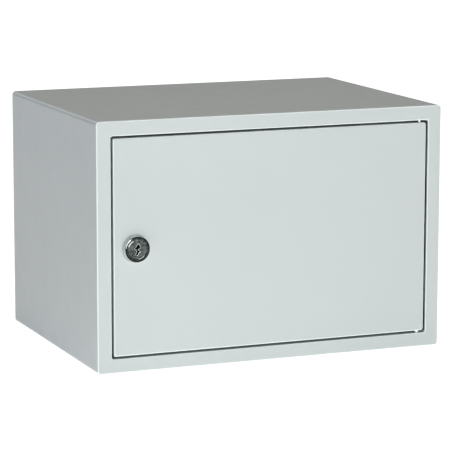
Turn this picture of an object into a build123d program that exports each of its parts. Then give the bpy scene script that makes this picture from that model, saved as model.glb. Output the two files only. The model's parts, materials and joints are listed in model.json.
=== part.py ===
from build123d import *
import math
import os

# A small lockable steel cabinet that charges phones. Millimetres, +Z up.
# The origin is the middle of the underside. The door faces -Y and is hinged on its +X side.

# ---- Cabinet shell
width = 300.0
depth = 220.0
height = 202.0
sheet = 1.2
long_bend = 3.0  # outside radius along the four depth-wise edges
face_bend = 1.6  # outside radius round the front face
frame_border = 12.0  # width of the face frame that shows round the door
opening_bend = 1.1  # radius where the face frame turns into the opening
opening_corner = 1.5
return_depth = 14.0  # how far the opening's edges turn back into the cabinet
hinge_return_depth = 2.6  # shorter on the hinge side, to clear the turning door
panel_bend = 1.1
back_flange = 7.0
flange_relief = 9.0  # back panel flanges stop this far from the corners

# ---- Wall holes and vents
wall_hole_radius = 4.0
lower_hole_height = 40.0
upper_hole_drop = 30.0
vent_width = 3.0
vent_length = 24.0
vent_pitch = 8.0
vent_drop = 30.0  # from the top of the cabinet to the middle of the vents
side_vents = 12
back_vents = 22

# ---- Door
door_gap = 1.8
door_depth = 12.0
door_bend = 1.4
door_corner = 1.5
hinge_corner = 2.2

# ---- Hinge
pin_radius = 1.5
pin_reach = 6.0  # how far a pin goes into the door
pin_head_overhang = 1.1
pin_head_height = 2.0
bush_clearance = 0.05
bush_wall = 0.6
bush_length = 4.0
collar_overhang = 0.4
collar_thickness = 0.8
collar_edge_gap = 0.05  # from the collar to the rounded corner of the door's flanges
collar_face_gap = 0.25  # from the collar to the back of the door's face
thrust_clearance = 0.2
thrust_washer_overhang = 1.0
washer_clearance = 0.1

# ---- Strike and buffers on the lock side
strike_width = 8.0  # how far the strike shows inside the opening
strike_leg = 9.0
strike_margin = 8.0  # from the opening's top and bottom
strike_bend = 1.0
buffer_gap = 0.3
buffer_thickness = 1.7
buffer_width = 6.0
buffer_length = 18.0
buffer_spacing = 100.0

# ---- Cam lock
lock_edge_distance = 18.5  # from the door's edge to the lock's axis
lock_drop = 1.0  # below the middle of the door
barrel_radius = 9.0
barrel_flat = 1.0
hole_clearance = 0.1
head_overhang = 2.5
head_taper = 1.3
head_height = 4.5
head_rounding = 0.8
plug_radius = 6.0
plug_face_radius = 8.0
plug_face_depth = 3.2
plug_face_rounding = 0.35
plug_recess = 0.3
plug_clearance = 0.05
plug_end_play = 0.2
mouth_chamfer = 0.45
keyway_depth = 9.0
cam_clearance = 0.4
cam_thickness = 2.0
cam_width = 12.0
cam_heel = 2.0
cam_engagement = 11.0  # overlap of the turned cam with the strike
cam_square = 7.0
square_setback = 0.2  # the plug's square ends just inside the cam
bolt_hole_spare = 1.0
lock_washer_thickness = 0.8
lock_washer_overhang = 3.4
lock_washer_teeth = 16
lock_washer_notch = 1.0
lock_nut_thickness = 3.5
lock_nut_wall = 3.0
lock_nut_chamfer = 0.6
cam_bolt_radius = 2.0
cam_bolt_reach = 8.0
cam_bolt_head_radius = 4.0
cam_bolt_head_height = 2.6
cam_washer_thickness = 1.0
cam_washer_radius = 5.2

# ---- Phone rack
slot_count = 10
rack_side_gap = 15.3
rack_setback = 35.0  # from the cabinet's front face to the rack
rack_back_gap = 5.0
tray_sheet = 1.0
tray_side_height = 45.0
tray_lip_height = 9.0
mat_thickness = 2.0
mat_gap = 1.0
divider_thickness = 2.0
divider_height = 73.0
divider_nose = 42.0
divider_heel = 10.0
divider_end_gap = 4.0
tab_length = 16.0
tab_inset = 20.0
slot_clearance = 0.1
ear_length = 12.5
ear_width = 16.0
ear_inset = 26.0
stud_radius = 2.0
stud_length = 8.0
stud_clearance = 0.3
stud_nut_thickness = 3.2
stud_nut_radius = 4.04  # across corners, for 7 mm across flats

# ---- Charger
charger_left_gap = 38.8
charger_end_gap = 2.8
charger_back_gap = 2.2
charger_headroom = 50.0
charger_depth = 36.6
charger_height = 58.0
charger_wall = 2.2
charger_rounding = 3.0
cover_depth = 10.0
board_setback = 14.0
board_thickness = 1.6
board_margin = 4.0
board_edge_gap = 1.8
board_end_gap = 40.0  # room beside the board for the switch and the inlet
port_margin = 11.5
port_width = 13.1
port_height = 5.7
port_proud = 0.4
port_wall = 0.5
port_hole_clearance = 0.2
tongue_width = 11.0
tongue_thickness = 1.9
tongue_setback = 1.2
tongue_drop = 0.4
light_radius = 1.25
light_rise = 8.5
light_proud = 0.4
light_rounding = 0.3
light_length = 4.0
boss_radius = 4.5
boss_inset = 6.0
boss_edge = 8.0
screw_radius = 1.5
screw_clearance = 0.1
screw_head_radius = 2.9
screw_head_height = 2.0
counterbore_depth = 4.2
screw_grip = 9.0
pilot_spare = 0.5
screw_slot = 0.8
housing_vent_width = 2.4
housing_vent_length = 14.0
housing_vent_pitch = 8.0
housing_vents = 20

# ---- Parts on the board
core_size = (28.0, 10.0, 24.0)
winding_size = (18.0, 14.0, 18.0)
core_inset = 28.0
core_gap = 2.0
capacitor_radius = 5.0
capacitor_length = 14.0
capacitor_pitch = 14.0
capacitor_inset = 58.0
capacitor_count = 3

# ---- Power switch
switch_inset = 22.0
switch_size = (15.0, 21.0)
switch_body = (13.0, 19.0)
switch_opening = (9.4, 16.0)
switch_flange = 1.5
switch_depth = 12.0
switch_corner = 0.4
bezel_corner = 1.2
rocker_side_gap = 0.4
rocker_half_height = 6.9
rocker_reach = 5.5
rocker_dish = 1.3
rocker_back = 2.0
rocker_taper = 0.4
rocker_rounding = 0.5
rocker_pivot_depth = 4.0
rocker_tilt = 8.0
trunnion_radius = 1.2
trunnion_length = 1.2
trunnion_clearance = 0.05
trunnion_end_gap = 0.2

# ---- Power inlet
inlet_depth_in_charger = 15.0
inlet_nose = (19.0, 12.0)
inlet_corner = 5.0
inlet_setback = 21.5  # from the charger's front to the inlet's axis
inlet_recess = (15.4, 8.6)
inlet_recess_depth = 12.0
inlet_flush = 0.2
inlet_flange = (22.0, 16.0)
inlet_flange_thickness = 2.0
inlet_flange_corner = 2.0
inlet_rounding = 0.5
inlet_clearance = 0.5
inlet_pin_radius = 1.18
inlet_pin_spacing = 8.6
inlet_pin_setback = 2.3
inlet_pin_root = 5.0

# ---- Charger bracket
bracket_left_inset = 20.0
bracket_right_inset = 36.0
bracket_leg = 20.0
bracket_front_inset = 12.0
bracket_bend = 1.5
bracket_screw_radius = 1.75
bracket_screw_head_radius = 3.3
bracket_screw_head_height = 2.2
bracket_screw_spacing = 120.0
bracket_screw_reach = 9.0
bracket_boss_height = 10.0

# ---- Places worked out from the sizes above
front = -depth / 2
back = depth / 2
mid_height = height / 2
inner_half = width / 2 - sheet
floor_top = sheet
opening_half = width / 2 - frame_border
opening_low = frame_border
opening_high = height - frame_border
door_half = opening_half - door_gap
door_low = opening_low + door_gap
door_high = opening_high - door_gap
door_inner = front + sheet
bush_radius = pin_radius + bush_clearance + bush_wall
collar_radius = bush_radius + collar_overhang
hinge_x = door_half - hinge_corner - collar_edge_gap - collar_radius
hinge_y = door_inner + collar_face_gap + collar_radius
lock_x = -door_half + lock_edge_distance
lock_z = mid_height - lock_drop
strike_front = front + door_depth + buffer_gap + buffer_thickness
strike_back = strike_front + sheet
cam_front = strike_back + cam_clearance
cam_back = cam_front + cam_thickness
barrel_back = cam_front - cam_clearance
head_face = front - head_height

charger_left = -inner_half + charger_left_gap
charger_right = inner_half - charger_end_gap
charger_back = back - sheet - charger_back_gap
charger_front = charger_back - charger_depth
charger_top = height - charger_headroom
charger_bottom = charger_top - charger_height
charger_mid = (charger_top + charger_bottom) / 2
charger_split = charger_front + cover_depth
board_front = charger_front + board_setback
board_back = board_front + board_thickness
board_left = charger_left + board_margin
board_right = charger_right - board_end_gap
port_pitch = (board_right - board_left - 2 * port_margin) / (slot_count - 1)
switch_x = charger_right - switch_inset
inlet_y = charger_front + inlet_setback
boss_places = [
    (x, z)
    for x in (board_left + boss_inset, board_right - boss_inset)
    for z in (charger_bottom + boss_edge, charger_top - boss_edge)
]
bracket_left = charger_left + bracket_left_inset
bracket_right = charger_right - bracket_right_inset
bracket_middle = (bracket_left + bracket_right) / 2
bracket_screw_y = (board_back + charger_back) / 2
bracket_screw_xs = [bracket_middle + side * bracket_screw_spacing / 2 for side in (-1, 1)]

rack_half = inner_half - rack_side_gap
rack_front = front + rack_setback
rack_back = charger_front - rack_back_gap
slot_pitch = 2 * (rack_half - tray_sheet) / slot_count
tray_top = floor_top + tray_sheet
mat_top = tray_top + mat_thickness
divider_xs = [(index - slot_count / 2) * slot_pitch for index in range(1, slot_count)]
divider_front = rack_front + divider_end_gap
divider_back = rack_back - divider_end_gap
tab_middles = (divider_front + tab_inset, divider_back - tab_inset)
stud_places = [
    (side * (rack_half + ear_length / 2), y)
    for side in (-1, 1)
    for y in (rack_front + ear_inset, rack_back - ear_inset)
]
wall_hole_x = rack_half - tray_sheet - slot_pitch / 2
wall_hole_places = [
    (side * wall_hole_x, z)
    for side in (-1, 1)
    for z in (lower_hole_height, height - upper_hole_drop)
]


# ---- Shapes used by several pieces
def block(x0, x1, y0, y1, z0, z1):
    """A box between two corners."""
    return Pos((x0 + x1) / 2, (y0 + y1) / 2, (z0 + z1) / 2) * Box(x1 - x0, y1 - y0, z1 - z0)


def rod_x(x0, x1, y, z, radius):
    """A round bar along X."""
    return Pos((x0 + x1) / 2, y, z) * Rot(0, 90, 0) * Cylinder(radius, x1 - x0)


def rod_y(x, y0, y1, z, radius):
    """A round bar along Y."""
    return Pos(x, (y0 + y1) / 2, z) * Rot(90, 0, 0) * Cylinder(radius, y1 - y0)


def rod_z(x, y, z0, z1, radius):
    """A round bar along Z."""
    return Pos(x, y, (z0 + z1) / 2) * Cylinder(radius, z1 - z0)


def face_plane(x, y, z):
    """A drawing plane that faces the front, with its own X along X and its own Y along Z."""
    return Plane(origin=(x, y, z), x_dir=(1, 0, 0), z_dir=(0, -1, 0))


def side_plane(x, y, z):
    """A drawing plane that faces +X, with its own X along Y and its own Y along Z."""
    return Plane(origin=(x, y, z), x_dir=(0, 1, 0), z_dir=(1, 0, 0))


def slab(x, z, size_x, size_z, corner, y0, y1):
    """A plate with rounded corners, y0 to y1 thick."""
    return extrude(face_plane(x, y1, z) * RectangleRounded(size_x, size_z, corner), y1 - y0)


def side_slab(y, z, size_y, size_z, corner, x0, x1):
    """A plate with rounded corners that faces +X, x0 to x1 thick."""
    return extrude(side_plane(x0, y, z) * RectangleRounded(size_y, size_z, corner), x1 - x0)


def round_end(size):
    """The corner radius that gives a slot of this width its round ends."""
    return size / 2 - 0.01


def joined(pieces):
    """All the given solids as one shape."""
    total = pieces[0]
    for piece in pieces[1:]:
        total += piece
    return total


def front_edges(piece):
    """The edges of a piece's foremost face."""
    return piece.faces().sort_by(Axis.Y)[0].edges()


def row(count, pitch, middle=0.0):
    """Evenly spaced places about a middle."""
    return [middle + (index - (count - 1) / 2) * pitch for index in range(count)]


# ---- Cabinet
def cabinet_shell():
    """The wrap of four walls with the face frame and its returns round the doorway."""
    outer = slab(0, mid_height, width, height, long_bend, front, back)
    outer = fillet(front_edges(outer), face_bend)
    inner = slab(
        0, mid_height, width - 2 * sheet, height - 2 * sheet, long_bend - sheet, front + sheet, back
    )
    inner = fillet(front_edges(inner), face_bend - sheet)
    opening_width = 2 * opening_half
    opening_height = opening_high - opening_low
    sleeve = slab(
        0,
        mid_height,
        opening_width + 2 * sheet,
        opening_height + 2 * sheet,
        opening_corner + sheet,
        front + sheet / 2,
        front + return_depth,
    )
    hinge_trim = block(
        opening_half - opening_corner,
        opening_half + 2 * sheet,
        front + hinge_return_depth,
        front + return_depth,
        opening_low + opening_corner,
        opening_high - opening_corner,
    )
    shell = outer - inner + (sleeve - hinge_trim)
    shell -= slab(
        0, mid_height, opening_width, opening_height, opening_corner, front, front + return_depth
    )
    shell = fillet(shell.faces().sort_by(Axis.Y)[0].inner_wires()[0].edges(), opening_bend)
    for z in (opening_low, opening_high):
        shell -= rod_z(hinge_x, hinge_y, z - 2 * sheet, z + 2 * sheet, pin_radius)
    for y in row(side_vents, vent_pitch):
        shell -= side_slab(
            y,
            height - vent_drop,
            vent_width,
            vent_length,
            round_end(vent_width),
            inner_half - sheet,
            width / 2,
        )
    shell -= side_slab(
        inlet_y,
        charger_mid,
        inlet_nose[0] + 2 * inlet_clearance,
        inlet_nose[1] + 2 * inlet_clearance,
        inlet_corner + inlet_clearance,
        inner_half - sheet,
        width / 2,
    )
    return shell


def back_panel():
    """The back plate, with flanges that lie against the wrap's four walls."""
    corner = long_bend - sheet
    outer = slab(
        0, mid_height, 2 * inner_half, height - 2 * sheet, corner, back - sheet - back_flange, back
    )
    outer = fillet(outer.faces().sort_by(Axis.Y)[-1].edges(), panel_bend)
    hollow = block(
        -inner_half + sheet,
        inner_half - sheet,
        front,
        back - sheet,
        2 * sheet,
        height - 2 * sheet,
    )
    panel = outer - hollow
    for x in (-inner_half, inner_half):
        for z in (sheet, height - sheet):
            panel -= block(
                x - flange_relief,
                x + flange_relief,
                front,
                back - sheet,
                z - flange_relief,
                z + flange_relief,
            )
    for x, z in wall_hole_places:
        panel -= rod_y(x, back - 2 * sheet, back + sheet, z, wall_hole_radius)
    for x in row(back_vents, vent_pitch):
        panel -= slab(
            x,
            height - vent_drop,
            vent_width,
            vent_length,
            round_end(vent_width),
            back - 2 * sheet,
            back,
        )
    return panel


def lock_strike():
    """An angle welded behind the lock side of the opening: the door stops on it and the cam hooks it."""
    outside = -opening_half - 2 * sheet
    low = opening_low + strike_margin
    high = opening_high - strike_margin
    angle = block(outside, -opening_half + strike_width, strike_back - strike_leg, strike_back, low, high)
    bend = angle.edges().filter_by(Axis.Z).group_by(Axis.X)[0].sort_by(Axis.Y)[-1]
    angle = fillet(bend, strike_bend)
    return angle - block(
        outside + sheet, -opening_half + 2 * strike_width, front, strike_front, low - sheet, high + sheet
    )


def door_buffer(side):
    """A small rubber pad on the strike, under the door's edge."""
    middle = -opening_half + strike_width / 2
    z = mid_height + side * buffer_spacing / 2
    pad = block(
        middle - buffer_width / 2,
        middle + buffer_width / 2,
        strike_front - buffer_thickness,
        strike_front,
        z - buffer_length / 2,
        z + buffer_length / 2,
    )
    return fillet(pad.edges().filter_by(Axis.Y), buffer_width / 4)


def hinge_pin(side):
    """A headed pin through the frame's return into the door's bush."""
    seat = opening_high + sheet if side > 0 else opening_low - sheet
    tip = door_high - pin_reach if side > 0 else door_low + pin_reach
    shank = rod_z(hinge_x, hinge_y, min(seat, tip), max(seat, tip), pin_radius)
    shank = chamfer(shank.faces().sort_by(Axis.Z)[0 if side > 0 else -1].edges(), pin_radius / 4)
    head_end = seat + side * pin_head_height
    head = rod_z(hinge_x, hinge_y, min(seat, head_end), max(seat, head_end), pin_radius + pin_head_overhang)
    head = fillet(head.faces().sort_by(Axis.Z)[-1 if side > 0 else 0].edges(), pin_head_height / 3)
    return shank + head


def thrust_washer():
    """The washer that carries the door's weight on the lower pin."""
    top = door_low - thrust_clearance
    ring = rod_z(hinge_x, hinge_y, opening_low, top, pin_radius + thrust_washer_overhang)
    return ring - rod_z(hinge_x, hinge_y, opening_low, top, pin_radius + washer_clearance)


# ---- Door
def door_panel():
    """A folded tray: the face, four flanges, bush holes and the lock's hole."""
    door = block(-door_half, door_half, front, front + door_depth, door_low, door_high)
    ends = door.edges().filter_by(Axis.Y).group_by(Axis.X)
    door = fillet(ends[-1], hinge_corner)
    door = fillet(door.edges().filter_by(Axis.Y).group_by(Axis.X)[0], door_corner)
    door = fillet(front_edges(door), door_bend)
    hollow = block(
        -door_half + sheet,
        door_half - sheet,
        door_inner,
        front + door_depth,
        door_low + sheet,
        door_high - sheet,
    )
    hollow = fillet(hollow.edges().filter_by(Axis.Y).group_by(Axis.X)[-1], hinge_corner - sheet)
    hollow = fillet(hollow.edges().filter_by(Axis.Y).group_by(Axis.X)[0], door_corner - sheet)
    door -= hollow
    for z in (door_low, door_high):
        door -= rod_z(hinge_x, hinge_y, z - 2 * sheet, z + 2 * sheet, bush_radius)
    return door - lock_section(hole_clearance, front - sheet, door_inner + sheet)


def hinge_bush(side):
    """A nylon bush in the door's top or bottom flange, with its collar inside the door."""
    edge = door_high if side > 0 else door_low
    inside = edge - side * bush_length
    seat = edge - side * sheet
    collar_end = seat - side * collar_thickness
    sleeve = rod_z(hinge_x, hinge_y, min(edge, inside), max(edge, inside), bush_radius)
    collar = rod_z(hinge_x, hinge_y, min(seat, collar_end), max(seat, collar_end), collar_radius)
    bore = rod_z(hinge_x, hinge_y, door_low, door_high, pin_radius + bush_clearance)
    return sleeve + collar - bore


# ---- Cam lock
def lock_section(clearance, y0, y1):
    """The barrel's round section with two flats, as a bar along Y."""
    radius = barrel_radius + clearance
    flat = barrel_radius - barrel_flat + clearance
    body = rod_y(lock_x, y0, y1, lock_z, radius)
    return body & block(
        lock_x - flat, lock_x + flat, y0, y1, lock_z - radius, lock_z + radius
    )


def lock_barrel():
    """The lock's housing: a tapered head in front of the door and a flatted body through it."""
    head_radius = barrel_radius + head_overhang
    head = Cone(head_radius, head_radius - head_taper, head_height)
    head = Pos(lock_x, front - head_height / 2, lock_z) * Rot(90, 0, 0) * head
    head = fillet(front_edges(head), head_rounding)
    body = lock_section(0, front, barrel_back)
    barrel = head + body
    face_bore = plug_face_radius + plug_clearance
    bore_floor = head_face + plug_recess + plug_face_depth + plug_end_play
    barrel -= rod_y(lock_x, head_face, bore_floor, lock_z, face_bore)
    mouth = Cone(face_bore, face_bore + mouth_chamfer, mouth_chamfer)
    barrel -= Pos(lock_x, head_face + mouth_chamfer / 2, lock_z) * Rot(90, 0, 0) * mouth
    return barrel - rod_y(lock_x, head_face, barrel_back, lock_z, plug_radius + plug_clearance)


def lock_washer():
    """A toothed washer between the door and the lock's nut."""
    back_face = door_inner + lock_washer_thickness
    outer_radius = barrel_radius + lock_washer_overhang
    ring = rod_y(lock_x, door_inner, back_face, lock_z, outer_radius)
    ring -= rod_y(lock_x, door_inner, back_face, lock_z, barrel_radius + hole_clearance)
    for index in range(lock_washer_teeth):
        angle = index * 2 * math.pi / lock_washer_teeth
        ring -= rod_y(
            lock_x + outer_radius * math.cos(angle),
            door_inner,
            back_face,
            lock_z + outer_radius * math.sin(angle),
            lock_washer_notch,
        )
    return ring


def lock_nut():
    """The hexagon nut that clamps the lock to the door."""
    nut_front = door_inner + lock_washer_thickness
    corner_radius = (barrel_radius + lock_nut_wall) / math.cos(math.pi / 6)
    nut_back = nut_front + lock_nut_thickness
    outline = face_plane(lock_x, nut_back, lock_z) * RegularPolygon(corner_radius, 6)
    nut = extrude(outline, lock_nut_thickness)
    rise = lock_nut_thickness + lock_nut_chamfer
    dome = Cone(corner_radius - lock_nut_chamfer, corner_radius + lock_nut_thickness, rise)
    nut &= Pos(lock_x, nut_back - rise / 2, lock_z) * Rot(90, 0, 0) * dome
    return nut - rod_y(lock_x, nut_front, nut_back, lock_z, barrel_radius)


def keyway_outline():
    """A stepped and slanted key profile, drawn clockwise from its upper end."""
    points = [
        (0.3, 4.0),
        (1.0, 4.0),
        (1.3, 2.5),
        (2.0, 0.8),
        (0.7, 0.4),
        (0.5, -0.5),
        (1.8, -1.2),
        (1.6, -2.0),
        (0.6, -2.4),
        (0.3, -3.9),
        (-0.4, -4.3),
        (-1.3, -3.9),
        (-0.9, -2.4),
        (-0.6, -1.5),
        (-1.0, 0.3),
        (-1.8, 0.8),
        (-0.6, 2.4),
    ]
    return make_face(Polyline(*points, close=True))


def lock_plug():
    """The turning plug: face disc with the keyway, stem, and a square end for the cam."""
    face = head_face + plug_recess
    shoulder = face + plug_face_depth
    square_end = cam_back - square_setback
    disc = rod_y(lock_x, face, shoulder, lock_z, plug_face_radius)
    disc = fillet(front_edges(disc), plug_face_rounding)
    stem = rod_y(lock_x, shoulder, barrel_back, lock_z, plug_radius)
    half = cam_square / 2
    square = block(
        lock_x - half, lock_x + half, barrel_back, square_end, lock_z - half, lock_z + half
    )
    plug = disc + stem + square
    keyway = extrude(face_plane(lock_x, face + keyway_depth, lock_z) * keyway_outline(), keyway_depth)
    plug -= keyway
    return plug - rod_y(lock_x, square_end - cam_bolt_reach, square_end, lock_z, cam_bolt_radius)


def lock_cam():
    """The flat cam, hanging down when the door is unlocked."""
    tip = lock_x - (-opening_half + strike_width) + cam_engagement
    heel = cam_width / 2 + cam_heel
    length = tip + heel
    cam = slab(
        lock_x, lock_z + heel - length / 2, cam_width, length, cam_width / 3, cam_front, cam_back
    )
    half = cam_square / 2 + hole_clearance
    return cam - block(
        lock_x - half, lock_x + half, cam_front, cam_back, lock_z - half, lock_z + half
    )


def cam_washer():
    """The washer under the cam's bolt."""
    y1 = cam_back + cam_washer_thickness
    ring = rod_y(lock_x, cam_back, y1, lock_z, cam_washer_radius)
    return ring - rod_y(lock_x, cam_back, y1, lock_z, cam_bolt_radius + hole_clearance)


def cam_bolt():
    """The hexagon bolt that holds the cam on the plug's square."""
    seat = cam_back + cam_washer_thickness
    shank_end = cam_back - square_setback - cam_bolt_reach + bolt_hole_spare
    shank = rod_y(lock_x, shank_end, seat, lock_z, cam_bolt_radius)
    head_end = seat + cam_bolt_head_height
    outline = face_plane(lock_x, head_end, lock_z) * RegularPolygon(cam_bolt_head_radius, 6)
    head = extrude(outline, cam_bolt_head_height)
    return shank + head


# ---- Phone rack
def rack_tray():
    """The folded tray on the cabinet's floor, with an ear for each stud."""
    tray = block(-rack_half, rack_half, rack_front, rack_back, floor_top, floor_top + tray_side_height)
    tray = fillet(tray.edges().filter_by(Axis.X).group_by(Axis.Z)[-1], divider_heel)
    tray -= block(
        -rack_half + tray_sheet,
        rack_half - tray_sheet,
        rack_front + tray_sheet,
        rack_back - tray_sheet,
        tray_top,
        floor_top + tray_side_height,
    )
    tray -= block(
        -rack_half + tray_sheet,
        rack_half - tray_sheet,
        rack_front - tray_sheet,
        rack_back + tray_sheet,
        floor_top + tray_lip_height,
        floor_top + tray_side_height,
    )
    for x, y in stud_places:
        side = math.copysign(1, x)
        inner_end = side * (rack_half - tray_sheet)
        outer_end = side * (rack_half + ear_length)
        tray += block(
            min(inner_end, outer_end),
            max(inner_end, outer_end),
            y - ear_width / 2,
            y + ear_width / 2,
            floor_top,
            tray_top,
        )
        tray -= rod_z(x, y, floor_top, tray_top, stud_radius + stud_clearance)
    for x in divider_xs:
        for y in tab_middles:
            half_x = divider_thickness / 2 + slot_clearance
            half_y = tab_length / 2 + slot_clearance
            tray -= block(x - half_x, x + half_x, y - half_y, y + half_y, floor_top, tray_top)
    return tray


def rack_mat():
    """The rubber mat that the phones stand on, slit for the dividers."""
    inset = tray_sheet + mat_gap
    mat = block(
        -rack_half + inset, rack_half - inset, rack_front + inset, rack_back - inset, tray_top, mat_top
    )
    half = divider_thickness / 2 + slot_clearance
    for x in divider_xs:
        mat -= block(
            x - half,
            x + half,
            divider_front - slot_clearance,
            divider_back + slot_clearance,
            tray_top,
            mat_top,
        )
    return mat


def rack_divider(x):
    """One upright divider, with two tabs through the tray's floor."""
    top = tray_top + divider_height
    plate = block(
        x - divider_thickness / 2, x + divider_thickness / 2, divider_front, divider_back, tray_top, top
    )
    upper = plate.edges().filter_by(Axis.X).group_by(Axis.Z)[-1].sort_by(Axis.Y)
    plate = fillet(upper[0], divider_nose)
    heel = plate.edges().filter_by(Axis.X).group_by(Axis.Z)[-1].sort_by(Axis.Y)[-1]
    plate = fillet(heel, divider_heel)
    for y in tab_middles:
        plate += block(
            x - divider_thickness / 2,
            x + divider_thickness / 2,
            y - tab_length / 2,
            y + tab_length / 2,
            floor_top,
            tray_top,
        )
    return plate


def rack_studs():
    """Four studs welded to the cabinet's floor."""
    studs = []
    for x, y in stud_places:
        stud = rod_z(x, y, floor_top, floor_top + stud_length, stud_radius)
        studs.append(chamfer(stud.faces().sort_by(Axis.Z)[-1].edges(), stud_radius / 4))
    return joined(studs)


def rack_nuts():
    """The nut on each stud."""
    nuts = []
    for x, y in stud_places:
        nut = extrude(Pos(x, y, tray_top) * RegularPolygon(stud_nut_radius, 6), stud_nut_thickness)
        nuts.append(nut - rod_z(x, y, tray_top, tray_top + stud_nut_thickness, stud_radius))
    return joined(nuts)


# ---- Charger
def charger_housing():
    """The charger's whole case, before it is parted into base and cover."""
    outer = block(
        charger_left, charger_right, charger_front, charger_back, charger_bottom, charger_top
    )
    outer = fillet(outer.edges(), charger_rounding)
    inner = block(
        charger_left + charger_wall,
        charger_right - charger_wall,
        charger_front + charger_wall,
        charger_back - charger_wall,
        charger_bottom + charger_wall,
        charger_top - charger_wall,
    )
    return outer - fillet(inner.edges(), charger_rounding - charger_wall)


def port_xs():
    """The middle of each charging port, from left to right."""
    return [board_left + port_margin + index * port_pitch for index in range(slot_count)]


def charger_cover():
    """The charger's front half, with holes for the ports, lights and switch."""
    cover = charger_housing() & block(
        charger_left, charger_right, charger_front, charger_split, charger_bottom, charger_top
    )
    for x, z in boss_places:
        cover += rod_y(x, charger_front + charger_wall / 2, board_front, z, boss_radius)
        cover -= rod_y(x, board_front - screw_grip, board_front, z, screw_radius)
    wall_end = charger_front + 2 * charger_wall
    for x in port_xs():
        cover -= block(
            x - port_width / 2 - port_hole_clearance,
            x + port_width / 2 + port_hole_clearance,
            charger_front - charger_wall,
            wall_end,
            charger_mid - port_height / 2 - port_hole_clearance,
            charger_mid + port_height / 2 + port_hole_clearance,
        )
        cover -= rod_y(x, charger_front - charger_wall, wall_end, charger_mid + light_rise, light_radius)
    return cover - slab(
        switch_x,
        charger_mid,
        switch_body[0] + 2 * port_hole_clearance,
        switch_body[1] + 2 * port_hole_clearance,
        switch_corner,
        charger_front - charger_wall,
        wall_end,
    )


def charger_base():
    """The charger's back half, with board bosses, screw bosses, vents and the inlet's hole."""
    base = charger_housing() & block(
        charger_left, charger_right, charger_split, charger_back, charger_bottom, charger_top
    )
    head_seat = charger_back - counterbore_depth
    for x, z in boss_places:
        base += rod_y(x, board_back, charger_back - charger_wall / 2, z, boss_radius)
        base -= rod_y(x, board_back, charger_back, z, screw_radius + screw_clearance)
        base -= rod_y(x, head_seat, charger_back, z, screw_head_radius + screw_clearance)
    inner_floor = charger_bottom + charger_wall
    for x in bracket_screw_xs:
        base += rod_z(
            x,
            bracket_screw_y,
            charger_bottom + charger_wall / 2,
            inner_floor + bracket_boss_height,
            boss_radius,
        )
        base -= rod_z(
            x, bracket_screw_y, charger_bottom, charger_bottom + bracket_screw_reach, bracket_screw_radius
        )
    base -= side_slab(
        inlet_y,
        charger_mid,
        inlet_nose[0] + 2 * hole_clearance,
        inlet_nose[1] + 2 * hole_clearance,
        inlet_corner,
        charger_right - 2 * charger_wall,
        charger_right + charger_wall,
    )
    vent_y = (charger_split + charger_back) / 2
    for x in row(housing_vents, housing_vent_pitch, (board_left + board_right) / 2):
        base -= block(
            x - housing_vent_width / 2,
            x + housing_vent_width / 2,
            vent_y - housing_vent_length / 2,
            vent_y + housing_vent_length / 2,
            charger_top - 2 * charger_wall,
            charger_top,
        )
    return base


def charger_board():
    """The circuit board, clamped between the bosses of the base and the cover."""
    edge = charger_wall + board_edge_gap
    board = block(
        board_left, board_right, board_front, board_back, charger_bottom + edge, charger_top - edge
    )
    for x, z in boss_places:
        board -= rod_y(x, board_front, board_back, z, screw_radius + screw_clearance)
    return board


def board_transformer():
    """The transformer on the back of the board: ferrite core round a winding."""
    x = board_right - core_inset
    length, thickness, tall = core_size
    coil_length, coil_thickness, coil_tall = winding_size
    core = block(
        x - length / 2,
        x + length / 2,
        board_back + core_gap,
        board_back + core_gap + thickness,
        charger_mid - tall / 2,
        charger_mid + tall / 2,
    )
    coil = block(
        x - coil_length / 2,
        x + coil_length / 2,
        board_back,
        board_back + coil_thickness,
        charger_mid - coil_tall / 2,
        charger_mid + coil_tall / 2,
    )
    return core + coil


def board_capacitors():
    """Can capacitors standing off the back of the board."""
    cans = []
    for index in range(capacitor_count):
        x = board_right - capacitor_inset - index * capacitor_pitch
        can = rod_y(x, board_back, board_back + capacitor_length, charger_mid, capacitor_radius)
        cans.append(fillet(can.faces().sort_by(Axis.Y)[-1].edges(), capacitor_radius / 6))
    return joined(cans)


def usb_port(x):
    """One charging port: a steel sleeve with its contact tongue and back."""
    y0 = charger_front - port_proud
    half_x = port_width / 2
    half_z = port_height / 2
    sleeve = block(
        x - half_x, x + half_x, y0, board_front, charger_mid - half_z, charger_mid + half_z
    )
    sleeve -= block(
        x - half_x + port_wall,
        x + half_x - port_wall,
        y0,
        board_front - tongue_thickness,
        charger_mid - half_z + port_wall,
        charger_mid + half_z - port_wall,
    )
    tongue_top = charger_mid + half_z - port_wall - tongue_drop
    return sleeve + block(
        x - tongue_width / 2,
        x + tongue_width / 2,
        y0 + tongue_setback,
        board_front - tongue_thickness / 2,
        tongue_top - tongue_thickness,
        tongue_top,
    )


def port_lights():
    """The small lens above each port."""
    lenses = []
    for x in port_xs():
        y0 = charger_front - light_proud
        lens = rod_y(x, y0, y0 + light_length, charger_mid + light_rise, light_radius)
        lenses.append(fillet(front_edges(lens), light_rounding))
    return joined(lenses)


def cover_screws():
    """Four screws that draw the base, board and cover together."""
    seat = charger_back - counterbore_depth
    screws = []
    for x, z in boss_places:
        shank = rod_y(x, board_front - screw_grip + pilot_spare, seat, z, screw_radius)
        head = rod_y(x, seat, seat + screw_head_height, z, screw_head_radius)
        head = fillet(head.faces().sort_by(Axis.Y)[-1].edges(), screw_head_height / 3)
        slot = block(
            x - screw_head_radius,
            x + screw_head_radius,
            seat + screw_head_height / 2,
            seat + screw_head_height,
            z - screw_slot / 2,
            z + screw_slot / 2,
        )
        screws.append(shank + head - slot)
    return joined(screws)


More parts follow.
